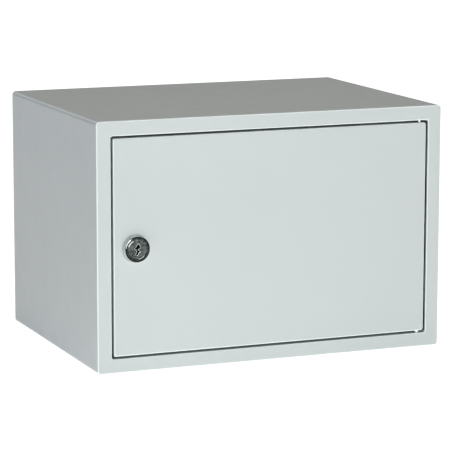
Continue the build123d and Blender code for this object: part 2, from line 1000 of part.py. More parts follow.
# ---- Power switch
def switch_frame():
    """The switch's bezel and body, open at the front for the rocker."""
    flange = slab(
        switch_x, charger_mid, *switch_size, bezel_corner, charger_front - switch_flange, charger_front
    )
    flange = fillet(front_edges(flange), bezel_corner / 2)
    body = slab(
        switch_x, charger_mid, *switch_body, switch_corner, charger_front, charger_front + switch_depth
    )
    floor_y = charger_front + switch_depth - switch_flange
    frame = flange + body
    frame -= slab(
        switch_x, charger_mid, *switch_opening, switch_corner, charger_front - switch_flange, floor_y
    )
    half = switch_opening[0] / 2 + trunnion_length
    return frame - rod_x(
        switch_x - half,
        switch_x + half,
        charger_front + rocker_pivot_depth - switch_flange,
        charger_mid,
        trunnion_radius + trunnion_clearance,
    )


def switch_rocker():
    """The rocker, resting with its upper end pressed in."""
    half_width = switch_opening[0] / 2 - rocker_side_gap
    outline = Polyline(
        (-rocker_reach, rocker_half_height),
        (-rocker_reach + rocker_dish, 0),
        (-rocker_reach, -rocker_half_height),
        (-rocker_back, -rocker_half_height + rocker_taper),
        (rocker_back, -rocker_half_height / 2),
        (rocker_back, rocker_half_height / 2),
        (-rocker_back, rocker_half_height - rocker_taper),
        close=True,
    )
    profile = Plane(origin=(-half_width, 0, 0), x_dir=(0, 1, 0), z_dir=(1, 0, 0)) * make_face(outline)
    rocker = extrude(profile, 2 * half_width)
    rocker = fillet(rocker.edges().filter_by(Axis.X).group_by(Axis.Y)[0], rocker_rounding)
    reach = switch_opening[0] / 2 + trunnion_length - trunnion_end_gap
    rocker += rod_x(-reach, reach, 0, 0, trunnion_radius)
    pivot_y = charger_front + rocker_pivot_depth - switch_flange
    return Pos(switch_x, pivot_y, charger_mid) * Rot(-rocker_tilt, 0, 0) * rocker


# ---- Power inlet
def inlet_body():
    """The two-pin inlet: a nose through the cabinet's wall, with a flange inside the charger."""
    x0 = charger_right - inlet_depth_in_charger
    x1 = width / 2 - inlet_flush
    body = side_slab(inlet_y, charger_mid, *inlet_nose, inlet_corner, x0, x1)
    body = fillet(body.faces().sort_by(Axis.X)[-1].edges(), inlet_rounding)
    flange_back = charger_right - charger_wall
    body += side_slab(
        inlet_y,
        charger_mid,
        *inlet_flange,
        inlet_flange_corner,
        flange_back - inlet_flange_thickness,
        flange_back,
    )
    body -= side_slab(
        inlet_y, charger_mid, *inlet_recess, round_end(inlet_recess[1]), x1 - inlet_recess_depth, x1
    )
    for side in (-1, 1):
        y = inlet_y + side * inlet_pin_spacing / 2
        body -= rod_x(x0, x1, y, charger_mid, inlet_pin_radius)
    return body


def inlet_pins():
    """The inlet's two pins."""
    x0 = charger_right - inlet_depth_in_charger - inlet_pin_root
    x1 = width / 2 - inlet_flush - inlet_pin_setback
    pins = []
    for side in (-1, 1):
        pin = rod_x(x0, x1, inlet_y + side * inlet_pin_spacing / 2, charger_mid, inlet_pin_radius)
        pins.append(fillet(pin.faces().sort_by(Axis.X)[-1].edges(), inlet_pin_radius / 2))
    return joined(pins)


# ---- Charger bracket
def charger_bracket():
    """An angle welded to the back panel, with the charger screwed down on it."""
    wall = back - sheet
    angle = block(
        bracket_left,
        bracket_right,
        charger_split + bracket_front_inset - cover_depth,
        wall,
        charger_bottom - bracket_leg,
        charger_bottom,
    )
    angle -= block(
        bracket_left,
        bracket_right,
        front,
        wall - sheet,
        charger_bottom - bracket_leg,
        charger_bottom - sheet,
    )
    bend = angle.edges().filter_by(Axis.X).group_by(Axis.Z)[-1].sort_by(Axis.Y)[-1]
    angle = fillet(bend, bracket_bend)
    for x in bracket_screw_xs:
        angle -= rod_z(
            x,
            bracket_screw_y,
            charger_bottom - sheet,
            charger_bottom,
            bracket_screw_radius + screw_clearance,
        )
    return angle


def bracket_screws():
    """Two screws up through the bracket into the charger's base."""
    seat = charger_bottom - sheet
    screws = []
    for x in bracket_screw_xs:
        tip = charger_bottom + bracket_screw_reach - pilot_spare
        shank = rod_z(x, bracket_screw_y, seat, tip, bracket_screw_radius)
        head = rod_z(
            x, bracket_screw_y, seat - bracket_screw_head_height, seat, bracket_screw_head_radius
        )
        head = fillet(head.faces().sort_by(Axis.Z)[0].edges(), bracket_screw_head_height / 3)
        screws.append(shank + head)
    return joined(screws)


pieces = {
    "cabinet_shell": cabinet_shell(),
    "back_panel": back_panel(),
    "lock_strike": lock_strike(),
    "door_buffer_upper": door_buffer(1),
    "door_buffer_lower": door_buffer(-1),
    "hinge_pin_upper": hinge_pin(1),
    "hinge_pin_lower": hinge_pin(-1),
    "hinge_thrust_washer": thrust_washer(),
    "door_panel": door_panel(),
    "hinge_bush_upper": hinge_bush(1),
    "hinge_bush_lower": hinge_bush(-1),
    "lock_barrel": lock_barrel(),
    "lock_washer": lock_washer(),
    "lock_nut": lock_nut(),
    "lock_plug": lock_plug(),
    "lock_cam": lock_cam(),
    "cam_washer": cam_washer(),
    "cam_bolt": cam_bolt(),
    "rack_tray": rack_tray(),
    "rack_mat": rack_mat(),
    "rack_studs": rack_studs(),
    "rack_nuts": rack_nuts(),
    "charger_base": charger_base(),
    "charger_cover": charger_cover(),
    "charger_board": charger_board(),
    "board_transformer": board_transformer(),
    "board_capacitors": board_capacitors(),
    "port_lights": port_lights(),
    "cover_screws": cover_screws(),
    "switch_frame": switch_frame(),
    "switch_rocker": switch_rocker(),
    "inlet_body": inlet_body(),
    "inlet_pins": inlet_pins(),
    "charger_bracket": charger_bracket(),
    "bracket_screws": bracket_screws(),
}
for number, x in enumerate(divider_xs, 1):
    pieces[f"rack_divider_{number}"] = rack_divider(x)
for number, x in enumerate(port_xs(), 1):
    pieces[f"usb_port_{number}"] = usb_port(x)

os.makedirs("parts", exist_ok=True)
for name, piece in pieces.items():
    export_step(piece, f"parts/{name}.step")
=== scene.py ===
import json
import math

import bmesh
import bpy
from mathutils import Matrix, Vector


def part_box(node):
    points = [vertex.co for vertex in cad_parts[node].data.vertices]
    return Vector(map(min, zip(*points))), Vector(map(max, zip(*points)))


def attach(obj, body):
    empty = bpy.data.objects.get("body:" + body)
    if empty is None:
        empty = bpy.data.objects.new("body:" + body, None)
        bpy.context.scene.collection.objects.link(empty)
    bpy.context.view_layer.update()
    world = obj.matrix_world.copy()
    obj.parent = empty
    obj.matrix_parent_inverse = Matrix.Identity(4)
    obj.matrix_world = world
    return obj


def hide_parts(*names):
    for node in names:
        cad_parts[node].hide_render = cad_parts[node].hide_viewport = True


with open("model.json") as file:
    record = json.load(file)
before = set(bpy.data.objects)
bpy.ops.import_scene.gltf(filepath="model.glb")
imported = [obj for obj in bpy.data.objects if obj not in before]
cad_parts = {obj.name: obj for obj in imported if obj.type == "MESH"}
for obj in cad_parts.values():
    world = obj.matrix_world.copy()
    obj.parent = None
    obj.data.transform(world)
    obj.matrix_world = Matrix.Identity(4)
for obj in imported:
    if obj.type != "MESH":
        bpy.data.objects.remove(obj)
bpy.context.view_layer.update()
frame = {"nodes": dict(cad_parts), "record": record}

# Sizes are metres in the model's own frame: +Z up, the door faces -Y, the hinge is on +X.
NODES = frame["nodes"]
RECORD = frame["record"]
MM = 0.001
DOOR_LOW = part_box("door_panel")[0]
SHELL_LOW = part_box("cabinet_shell")[0]
BARREL_LOW, BARREL_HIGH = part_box("lock_barrel")
PLUG_LOW, PLUG_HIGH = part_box("lock_plug")
PORT_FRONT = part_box("usb_port_1")[0].y
LOCK_X = (BARREL_LOW.x + BARREL_HIGH.x) / 2
LOCK_Z = (BARREL_LOW.z + BARREL_HIGH.z) / 2


# ---- Camera
def make_camera():
    """The photograph's view: a long lens, from the front left and a little above."""
    data = bpy.data.cameras.new("camera")
    camera = bpy.data.objects.new("camera", data)
    bpy.context.scene.collection.objects.link(camera)
    bpy.context.scene.camera = camera
    data.sensor_width = 36.0
    data.lens = 193.5
    data.clip_start = 0.05
    data.clip_end = 50.0
    azimuth, elevation, roll = math.radians(-22.08), math.radians(9.92), math.radians(0.09)
    back = Vector(
        (
            math.sin(azimuth) * math.cos(elevation),
            -math.cos(azimuth) * math.cos(elevation),
            math.sin(elevation),
        )
    )
    camera.location = (-0.7621, -1.8897, 0.4482)
    turn = (-back).to_track_quat("-Z", "Y").to_matrix().to_4x4()
    camera.rotation_mode = "QUATERNION"
    camera.rotation_quaternion = (turn @ Matrix.Rotation(roll, 4, "Z")).to_quaternion()


# ---- Light
def area_light(name, place, aim, size, power, colour):
    """A soft rectangular light at a place, pointing at another."""
    data = bpy.data.lights.new(name, "AREA")
    data.shape = "RECTANGLE"
    data.size, data.size_y = size
    data.energy = power
    data.color = colour
    light = bpy.data.objects.new(name, data)
    light.location = place
    light.rotation_mode = "QUATERNION"
    light.rotation_quaternion = (Vector(aim) - Vector(place)).to_track_quat("-Z", "Y")
    bpy.context.scene.collection.objects.link(light)


def make_lights():
    """A broad key from the front right, strip lights for the folded edges, and a dim even sky."""
    world = bpy.data.worlds.new("studio")
    bpy.context.scene.world = world
    world.use_nodes = True
    sky = world.node_tree.nodes["Background"]
    sky.inputs["Color"].default_value = (0.97, 0.985, 1.0, 1.0)
    sky.inputs["Strength"].default_value = 0.03
    middle = (0.0, 0.0, 0.10)
    area_light("key", (0.40, -2.7, 0.46), middle, (1.4, 0.8), 42.0, (0.97, 1.0, 1.0))
    area_light("top", (0.0, 0.02, 2.3), middle, (0.9, 0.9), 23.0, (1.0, 0.975, 0.93))
    area_light("left_high_strip", (-1.9, -0.85, 1.25), middle, (0.05, 0.55), 1.8, (0.93, 0.97, 1.0))
    area_light("left_strip", (-2.2, -0.95, 0.4), middle, (0.035, 1.0), 1.2, (0.93, 0.97, 1.0))
    area_light("left_fill", (-2.5, 0.2, 0.5), middle, (1.0, 1.0), 2.8, (0.20, 0.45, 1.0))
    area_light("right_strip", (2.3, 0.35, 0.4), middle, (0.12, 1.2), 4.0, (1.0, 1.0, 1.0))
    area_light("back_fill", (1.0, 2.6, 1.8), middle, (1.8, 1.2), 9.0, (1.0, 0.97, 0.92))


def make_floor():
    """A plain pale floor that glows a little, more with distance so that it stays white, and most in a pool
    near the front left, a painted pool of light that brightens the cabinet's lower front and left side.
    """
    bpy.ops.mesh.primitive_plane_add(size=40.0, location=(0.0, 0.0, SHELL_LOW.z - 0.0002))
    floor = bpy.context.object
    floor.name = "floor"
    look = Look("floor_white")
    look.set("Base Color", (0.92, 0.92, 0.92, 1.0))
    look.set("Roughness", 0.9)
    look.set("Specular IOR Level", 0.0)
    look.set("Emission Color", (1.0, 1.0, 1.0, 1.0))
    far = look.ramp(look.distance_from((0.0, 0.0, 0.0)), 0.645, 1.0, 0.5, 2.6)
    # Painted light: an extra pool of glow on the floor in front of the cabinet's front left corner.
    near = look.ramp(look.distance_from((-0.18, -0.28, 0.0)), 0.55, 0.0, 0.06, 0.42)
    look.link(look.math("ADD", far, near), look.shader.inputs["Emission Strength"])
    floor.data.materials.append(look.material)


# ---- Materials
class Look:
    """A Principled material with short calls to add its procedural detail."""

    def __init__(self, name):
        self.material = bpy.data.materials.new(name)
        self.material.use_nodes = True
        self.tree = self.material.node_tree
        self.shader = self.tree.nodes["Principled BSDF"]
        self.place = None
        self.height = None

    def set(self, socket, value):
        """A constant on the shader's own socket."""
        self.shader.inputs[socket].default_value = value

    def node(self, kind, **values):
        """A new node, with its inputs set by name."""
        made = self.tree.nodes.new(kind)
        for key, value in values.items():
            made.inputs[key.replace("_", " ")].default_value = value
        return made

    def link(self, source, target):
        self.tree.links.new(source, target)

    def math(self, operation, first, second):
        """A value worked out from an output and a number or a second output."""
        made = self.tree.nodes.new("ShaderNodeMath")
        made.operation = operation
        self.link(first, made.inputs[0])
        if isinstance(second, float):
            made.inputs[1].default_value = second
        else:
            self.link(second, made.inputs[1])
        return made.outputs["Value"]

    def window(self, value, middle, half):
        """1 where a value is within half of the middle, falling to 0 just past it."""
        off = self.math("SUBTRACT", value, middle)
        return self.ramp(self.math("MULTIPLY", off, off), 1.0, 0.0, (0.7 * half) ** 2, half**2)

    def coordinates(self):
        """Object coordinates, which are metres in the model's frame and move with the piece."""
        if self.place is None:
            self.place = self.tree.nodes.new("ShaderNodeTexCoord").outputs["Object"]
        return self.place

    def distance_from(self, place):
        """How far the surface is from a place, in metres."""
        made = self.tree.nodes.new("ShaderNodeVectorMath")
        made.operation = "DISTANCE"
        self.link(self.coordinates(), made.inputs[0])
        made.inputs[1].default_value = place
        return made.outputs["Value"]

    def noise(self, scale, detail=2.0, roughness=0.5, vector=None):
        """A noise value over the object's coordinates, in features per metre, or over a vector."""
        made = self.node("ShaderNodeTexNoise", Scale=scale, Detail=detail, Roughness=roughness)
        self.link(vector or self.coordinates(), made.inputs["Vector"])
        return made.outputs["Fac"]

    def ramp(self, value, low, high, from_low=0.3, from_high=0.7):
        """A value mapped from one range to another."""
        made = self.node("ShaderNodeMapRange")
        made.inputs["From Min"].default_value = from_low
        made.inputs["From Max"].default_value = from_high
        made.inputs["To Min"].default_value = low
        made.inputs["To Max"].default_value = high
        self.link(value, made.inputs["Value"])
        return made.outputs["Result"]

    def mix(self, factor, first, second):
        """A colour between two, by a value. Each may be a colour or an output."""
        made = self.tree.nodes.new("ShaderNodeMix")
        made.data_type = "RGBA"
        self.link(factor, made.inputs["Factor"])
        for name, colour in (("A", first), ("B", second)):
            socket = [s for s in made.inputs if s.name == name and s.type == "RGBA"][0]
            if isinstance(colour, tuple):
                socket.default_value = colour
            else:
                self.link(colour, socket)
        return [s for s in made.outputs if s.type == "RGBA"][0]

    def folds(self):
        """1 on the round of a fold, 0 on the flats, which are square to the piece's axes."""
        parts = self.tree.nodes.new("ShaderNodeSeparateXYZ")
        self.link(self.tree.nodes.new("ShaderNodeTexCoord").outputs["Normal"], parts.inputs["Vector"])
        most = self.math("ABSOLUTE", parts.outputs["X"], 0.0)
        for axis in "YZ":
            most = self.math("MAXIMUM", most, self.math("ABSOLUTE", parts.outputs[axis], 0.0))
        return self.ramp(most, 1.0, 0.0, 0.80, 0.99)

    def colour(self, source):
        self.link(source, self.shader.inputs["Base Color"])

    def roughness(self, source):
        self.link(source, self.shader.inputs["Roughness"])

    def bump(self, value, distance, strength=1.0):
        """A bump of that height in metres, on top of any set before."""
        made = self.node("ShaderNodeBump", Strength=strength, Distance=distance)
        self.link(value, made.inputs["Height"])
        if self.height is not None:
            self.link(self.height, made.inputs["Normal"])
        self.height = made.outputs["Normal"]
        self.link(self.height, self.shader.inputs["Normal"])

    def edges(self, radius, sample_count=6):
        """How sharp the surface turns nearby: 0 on flats, towards 1 on edges."""
        bevel = self.node("ShaderNodeBevel", Radius=radius)
        bevel.samples = sample_count
        flat = self.tree.nodes.new("ShaderNodeNewGeometry")
        dot = self.tree.nodes.new("ShaderNodeVectorMath")
        dot.operation = "DOT_PRODUCT"
        self.link(bevel.outputs["Normal"], dot.inputs[0])
        self.link(flat.outputs["Normal"], dot.inputs[1])
        return self.ramp(dot.outputs["Value"], 1.0, 0.0, 0.75, 0.99)


def shade(colour, factor):
    """A colour made lighter or darker."""
    return tuple(min(1.0, c * factor) for c in colour[:3]) + (1.0,)


def powder_coat(name, colour):
    """Semi-gloss powder coat: fine orange peel, faint drift of tone, and a painted highlight that makes the
    folds paler.
    """
    look = Look(name)
    drift = look.noise(9.0, 3.0)
    speck = look.noise(2600.0, 1.0)
    base = look.mix(look.ramp(drift, 0.0, 1.0), shade(colour, 0.985), shade(colour, 1.015))
    base = look.mix(look.ramp(speck, 0.0, 0.5, 0.35, 0.7), base, shade(colour, 0.96))
    # Painted highlight: the rounds of the folds are painted 1.75 times paler, in place of the light that
    # the bends catch.
    look.colour(look.mix(look.folds(), base, shade(colour, 1.75)))
    look.roughness(look.ramp(look.noise(60.0, 3.0), 0.36, 0.44))
    look.set("Specular IOR Level", 0.38)
    look.set("Coat Weight", 0.05)
    look.set("Coat Roughness", 0.18)
    look.bump(look.noise(420.0, 2.0), 0.045 * MM, 0.55)
    look.bump(look.noise(1500.0, 2.0), 0.012 * MM, 0.5)
    return look.material


def plated(name, colour, rough=0.25, wear=0.6, black_and_painted_shade_past=None):
    """Plated steel: handling marks, duller patches, bright edges, and near-black past a place along Y,
    which is the black tongue's own colour and painted shade inside the port's shell.
    """
    look = Look(name)
    look.set("Metallic", 1.0)
    patch = look.noise(180.0, 4.0, 0.6)
    base = look.mix(look.ramp(patch, 0.0, 1.0), shade(colour, 0.82), shade(colour, 1.08))
    base = look.mix(look.edges(0.35 * MM), base, shade(colour, 1.0 + wear))
    if black_and_painted_shade_past is not None:
        # Painted shade: behind the port's front the inside of the steel shell is painted near-black; the
        # tongue there is black plastic.
        parts = look.tree.nodes.new("ShaderNodeSeparateXYZ")
        look.link(look.coordinates(), parts.inputs["Vector"])
        black_tongue_and_painted_shade = look.ramp(parts.outputs["Y"], 0.0, 1.0, black_and_painted_shade_past, black_and_painted_shade_past + 0.5 * MM)
        base = look.mix(black_tongue_and_painted_shade, base, shade(colour, 0.08))
    look.colour(base)
    look.roughness(look.ramp(look.noise(420.0, 3.0), rough * 0.75, rough * 1.3))
    look.bump(look.noise(1400.0, 3.0, 0.6), 0.012 * MM, 0.6)
    return look.material


# Highlights painted on the lock as bright arcs: middle and half angle in radians, radius and half width in
# millimetres.
PAINTED_HIGHLIGHT_ARCS = [(2.56, 0.46, 9.85, 0.24), (2.45, 0.42, 7.7, 0.22), (-1.10, 0.42, 7.82, 0.22)]


def scored_face():
    """Nickel plate scored from the keyway outwards by years of keys, painted near-black as a painted dark
    reflection, with painted highlights in bright arcs.
    """
    look = Look("lock_face")
    look.set("Metallic", 1.0)
    parts = look.tree.nodes.new("ShaderNodeSeparateXYZ")
    look.link(look.coordinates(), parts.inputs["Vector"])
    across = look.math("SUBTRACT", parts.outputs["X"], LOCK_X)
    upward = look.math("SUBTRACT", parts.outputs["Z"], LOCK_Z)
    angle = look.math("ARCTAN2", upward, across)
    polar = look.tree.nodes.new("ShaderNodeCombineXYZ")
    look.link(angle, polar.inputs["X"])
    look.link(look.math("MULTIPLY", parts.outputs["Y"], 40.0), polar.inputs["Y"])
    scores = look.noise(9.0, 6.0, 0.72, polar.outputs["Vector"])
    patch = look.noise(520.0, 4.0, 0.65)
    squares = [look.math("MULTIPLY", side, side) for side in (across, upward)]
    radius = look.math("POWER", look.math("ADD", *squares), 0.5)
    outside = look.ramp(radius, 0.0, 1.0, 8.7 * MM, 9.0 * MM)
    # The plate colour is painted near-black: a painted dark reflection in place of the dark surroundings
    # that the bright face mirrors. The patches and scores on it are wear.
    dark, pale = (0.010, 0.013, 0.012, 1.0), (0.080, 0.090, 0.086, 1.0)
    base = look.mix(look.ramp(patch, 0.0, 1.0, 0.38, 0.64), dark, pale)
    base = look.mix(look.ramp(scores, 0.0, 0.7, 0.45, 0.72), base, shade(pale, 1.7))
    # The rim beyond 9 mm is painted near-black as well: painted dark reflection.
    base = look.mix(outside, base, (0.012, 0.015, 0.014, 1.0))
    # Painted highlights: bright arcs painted on the face and the rim where the lamps' highlights fall.
    arcs = []
    for turn, half_turn, place, half_width in PAINTED_HIGHLIGHT_ARCS:
        sector = look.window(angle, turn, half_turn)
        band = look.window(radius, place * MM, half_width * MM)
        arcs.append(look.math("MULTIPLY", sector, band))
    painted_highlight = look.math("ADD", look.math("ADD", arcs[0], arcs[1]), arcs[2])
    look.colour(look.mix(painted_highlight, base, (0.80, 0.82, 0.81, 1.0)))
    polish = look.ramp(outside, 0.24, 0.14, 0.0, 1.0)
    look.roughness(look.math("ADD", polish, look.ramp(painted_highlight, 0.0, 0.14, 0.0, 1.0)))
    look.bump(scores, 0.06 * MM, 0.8)
    look.bump(look.noise(1500.0, 3.0, 0.6), 0.015 * MM, 0.6)
    return look.material


def moulded(name, colour, rough=0.5, grain=0.012, scale=2400.0, edge=1.25):
    """Moulded plastic with a spark-eroded texture, slightly paler on edges worn by rubbing."""
    look = Look(name)
    drift = look.noise(40.0, 2.0)
    base = look.mix(look.ramp(drift, 0.0, 1.0), shade(colour, 0.93), shade(colour, 1.06))
    look.colour(look.mix(look.edges(0.6 * MM), base, shade(colour, edge)))
    look.roughness(look.ramp(look.noise(300.0, 2.0), rough * 0.9, rough * 1.12))
    look.bump(look.noise(scale, 2.0, 0.6), grain * MM, 0.7)
    return look.material


def rubber(name, colour):
    """Moulded rubber: dull, dusty in patches, with a fine pebble."""
    look = Look(name)
    dust = look.noise(55.0, 5.0, 0.65)
    look.colour(look.mix(look.ramp(dust, 0.0, 1.0, 0.35, 0.8), colour, shade(colour, 1.9)))
    look.roughness(look.ramp(look.noise(500.0, 2.0), 0.72, 0.86))
    look.set("Specular IOR Level", 0.35)
    look.bump(look.noise(1700.0, 2.0), 0.03 * MM, 0.7)
    return look.material


def board_laminate():
    """Green solder mask over faint copper tracks."""
    look = Look("board_laminate")
    track = look.node("ShaderNodeTexBrick", Scale=220.0, Mortar_Size=0.06, Bias=0.0)
    turned = look.tree.nodes.new("ShaderNodeMapping")
    turned.inputs["Rotation"].default_value = (math.pi / 2, 0.0, 0.0)
    look.link(look.coordinates(), turned.inputs["Vector"])
    look.link(turned.outputs["Vector"], track.inputs["Vector"])
    green, pale = (0.008, 0.085, 0.030, 1.0), (0.020, 0.160, 0.055, 1.0)
    look.colour(look.mix(track.outputs["Fac"], green, pale))
    look.roughness(look.ramp(look.noise(200.0), 0.22, 0.34))
    look.bump(track.outputs["Fac"], 0.03 * MM, 0.8)
    return look.material


def make_materials():
    """One finished material for each slot of the record."""
    paint = (0.450, 0.482, 0.482, 1.0)
    return {
        "powder_coat": powder_coat("powder_coat", paint),
        "rack_coat": powder_coat("rack_coat", (0.41, 0.44, 0.44, 1.0)),
        "lock_chrome": plated("lock_chrome", (0.68, 0.70, 0.695, 1.0), 0.22),
        "lock_face": scored_face(),
        "zinc_plate": plated("zinc_plate", (0.62, 0.63, 0.64, 1.0), 0.30),
        "bush_nylon": moulded("bush_nylon", (0.66, 0.66, 0.62, 1.0), 0.45, edge=1.05),
        "rubber": rubber("rubber", (0.018, 0.018, 0.020, 1.0)),
        "divider_plastic": moulded("divider_plastic", (0.60, 0.63, 0.66, 1.0), 0.42, edge=1.08),
        "housing_plastic": moulded("housing_plastic", (0.020, 0.022, 0.024, 1.0), 0.48, edge=1.8),
        "board_laminate": board_laminate(),
        "winding_tape": moulded("winding_tape", (0.60, 0.42, 0.05, 1.0), 0.35, 0.02, 900.0, 1.1),
        "capacitor_sleeve": moulded("capacitor_sleeve", (0.02, 0.03, 0.09, 1.0), 0.28, 0.006),
        # The ports' steel is painted near-black behind their front: painted shade in the shell, black on
        # the tongue.
        "port_steel": plated("port_steel", (0.60, 0.60, 0.59, 1.0), 0.24, black_and_painted_shade_past=PORT_FRONT),
        "lens_plastic": moulded("lens_plastic", (0.30, 0.72, 0.36, 1.0), 0.18, 0.002),
        "switch_plastic": moulded("switch_plastic", (0.012, 0.012, 0.013, 1.0), 0.24, 0.004, edge=1.6),
        "inlet_plastic": moulded("inlet_plastic", (0.014, 0.014, 0.015, 1.0), 0.45, edge=1.6),
        "pin_brass": plated("pin_brass", (0.66, 0.60, 0.48, 1.0), 0.22),
    }


SHARPEST_SMOOTH_EDGE = 32.0


def smooth(piece):
    """Smooth shading that is broken at sharp edges and keeps flats flat."""
    piece.data.polygons.foreach_set("use_smooth", [True] * len(piece.data.polygons))
    split = piece.modifiers.new("split", "EDGE_SPLIT")
    split.split_angle = math.radians(SHARPEST_SMOOTH_EDGE)
    weighted = piece.modifiers.new("weighted", "WEIGHTED_NORMAL")
    weighted.mode = "FACE_AREA"


def dress_nodes(materials):
    """Each CAD node gets its slot's material, and shading that keeps flats flat and bends round."""
    slot_of = {part["node"]: part["material_slot"] for part in RECORD["subparts"]}
    for name, node in NODES.items():
        node.data.materials.clear()
        node.data.materials.append(materials[slot_of[name]])
        weld = node.modifiers.new("weld", "WELD")
        weld.merge_threshold = 0.001 * MM
        smooth(node)


# ---- Shapes
def rest_on(piece, body, slot, nodes=()):
    """Gives a piece its body and its slot's material, and hides the CAD nodes that it stands for."""
    bpy.context.scene.collection.objects.link(piece)
    piece.data.materials.append(MATERIALS[slot])
    smooth(piece)
    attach(piece, body)
    if nodes:
        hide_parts(*nodes)


def arc(centre, radius, start, end, steps):
    """Points on an arc, angles in degrees."""
    angles = [math.radians(start + (end - start) * i / steps) for i in range(steps + 1)]
    return [(centre[0] + radius * math.cos(a), centre[1] + radius * math.sin(a)) for a in angles]


def turned(mesh, profile, closed, segments=128, half_width=None):
    """Adds a shape turned about the lock's axis. A profile point is a radius and a place along Y."""
    rings = []
    for radius, y in profile:
        count = 1 if radius == 0 else segments
        ring = []
        for i in range(count):
            angle = 2 * math.pi * i / count
            x = radius * math.cos(angle)
            if half_width and y > DOOR_LOW.y:
                x = max(-half_width, min(half_width, x))
            ring.append(mesh.verts.new((LOCK_X + x, y, LOCK_Z + radius * math.sin(angle))))
        rings.append(ring)
    pairs = list(zip(rings, rings[1:]))
    if closed:
        pairs.append((rings[-1], rings[0]))
    for first, second in pairs:
        for i in range(segments):
            j = (i + 1) % segments
            corners = [first[i % len(first)], first[j % len(first)]]
            corners += [second[j % len(second)], second[i % len(second)]]
            unique = list(dict.fromkeys(corners))
            mesh.faces.new(unique)


def pierced_disc(mesh, radius, hole, y_front, y_back, bevel):
    """Adds a disc with a shaped hole right through it, and small rounded edges."""
    curve = bpy.data.curves.new("outline", "CURVE")
    curve.dimensions = "2D"
    curve.fill_mode = "BOTH"
    circle = arc((0.0, 0.0), radius, 0.0, 360.0, 128)[:-1]
    for points in (circle, hole):
        spline = curve.splines.new("POLY")
        spline.points.add(len(points) - 1)
        for point, (x, z) in zip(spline.points, points):
            point.co = (x, z, 0.0, 1.0)
        spline.use_cyclic_u = True
    curve.extrude = (y_back - y_front) / 2 - bevel
    curve.bevel_depth = bevel
    curve.bevel_resolution = 3
    curve.offset = -bevel
    holder = bpy.data.objects.new("outline", curve)
    made = bpy.data.meshes.new_from_object(holder)
    turn = Matrix(((1, 0, 0, LOCK_X), (0, 0, -1, (y_front + y_back) / 2), (0, 1, 0, LOCK_Z), (0, 0, 0, 1)))
    made.transform(turn)
    mesh.from_mesh(made)
    bpy.data.objects.remove(holder)


def box_between(mesh, low, high, bevel):
    """Adds a box between two corners with its edges rounded."""
    middle = (Vector(low) + Vector(high)) / 2
    size = Vector(high) - Vector(low)
    place = Matrix.Translation(middle) @ Matrix.Diagonal((*size, 1.0))
    made = bmesh.ops.create_cube(mesh, size=1.0, matrix=place)["verts"]
    edges = list({edge for vert in made for edge in vert.link_edges})
    bmesh.ops.bevel(mesh, geom=edges, offset=bevel, segments=2, profile=0.5, affect="EDGES")


def as_piece(mesh, name):
    """The finished mesh as an object."""
    bmesh.ops.remove_doubles(mesh, verts=mesh.verts, dist=0.0005 * MM)
    bmesh.ops.recalc_face_normals(mesh, faces=mesh.faces)
    data = bpy.data.meshes.new(name)
    mesh.to_mesh(data)
    mesh.free()
    return bpy.data.objects.new(name, data)


# ---- Rack, ports and switch
MAT_RIB_PITCH = 4.0 * MM
MAT_RIB_HEIGHT = 0.35 * MM


def mat_ribs():
    """Moulded ribs across the mat, between its slits, so that a phone's end doesn't slide."""
    low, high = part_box("rack_mat")
    dividers = sorted(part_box(name) for name in NODES if name.startswith("rack_divider_"))
    edges = [low.x, *(x for box_low, box_high in dividers for x in (box_low.x, box_high.x)), high.x]
    mesh = bmesh.new()
    count = int((high.y - low.y) / MAT_RIB_PITCH) - 1
    for left, right in zip(edges[::2], edges[1::2]):
        for i in range(count):
            y = low.y + (i + 1) * MAT_RIB_PITCH
            first = (left + 1.5 * MM, y - 0.7 * MM, high.z - 0.1 * MM)
            box_between(mesh, first, (right - 1.5 * MM, y + 0.7 * MM, high.z + MAT_RIB_HEIGHT), 0.3 * MM)
    rest_on(as_piece(mesh, "mat_ribs"), "cabinet", "rubber")


def port_contacts():
    """Four gold contacts under the tongue of each charging port."""
    mesh = bmesh.new()
    for name in sorted(NODES):
        if not name.startswith("usb_port_"):
            continue
        low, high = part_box(name)
        tongue = high.z - 2.8 * MM
        for i in range(4):
            x = (low.x + high.x) / 2 + (i - 1.5) * 2.3 * MM
            first = (x - 0.5 * MM, low.y + 1.9 * MM, tongue - 0.12 * MM)
            box_between(mesh, first, (x + 0.5 * MM, low.y + 8.0 * MM, tongue + 0.02 * MM), 0.03 * MM)
    rest_on(as_piece(mesh, "port_contacts"), "cabinet", "pin_brass")


# ---- Cam lock
BARREL_RADIUS = 9.0 * MM
BARREL_HALF_WIDTH = 8.0 * MM
BORE_RADIUS = 6.05 * MM
MOUTH_RADIUS = 8.05 * MM
MOUTH_CHAMFER = 0.45 * MM
HEAD_TAPER = 1.3 * MM
HEAD_ROUNDING = 0.8 * MM
THREAD_PITCH = 1.0 * MM
THREAD_DEPTH = 0.42 * MM
FACE_RADIUS = 8.0 * MM
FACE_DEPTH = 3.2 * MM
STEM_RADIUS = 6.0 * MM
SQUARE_HALF = 3.5 * MM
KEYWAY_DEPTH = 9.0 * MM
LOCK_SEGMENTS = 160
WAFER_COUNT = 3
WAFER_DEPTH = 5.6 * MM
WAFER_PITCH = 1.1 * MM
WAFER_THICKNESS = 0.5 * MM
KEYWAY = [
    (0.3, 4.0),
    (1.0, 4.0),
    (1.3, 2.5),
    (2.0, 0.8),
    (0.7, 0.4),
    (0.5, -0.5),
    (1.8, -1.2),
    (1.6, -2.0),
    (0.6, -2.4),
    (0.3, -3.9),
    (-0.4, -4.3),
    (-1.3, -3.9),
    (-0.9, -2.4),
    (-0.6, -1.5),
    (-1.0, 0.3),
    (-1.8, 0.8),
    (-0.6, 2.4),
]


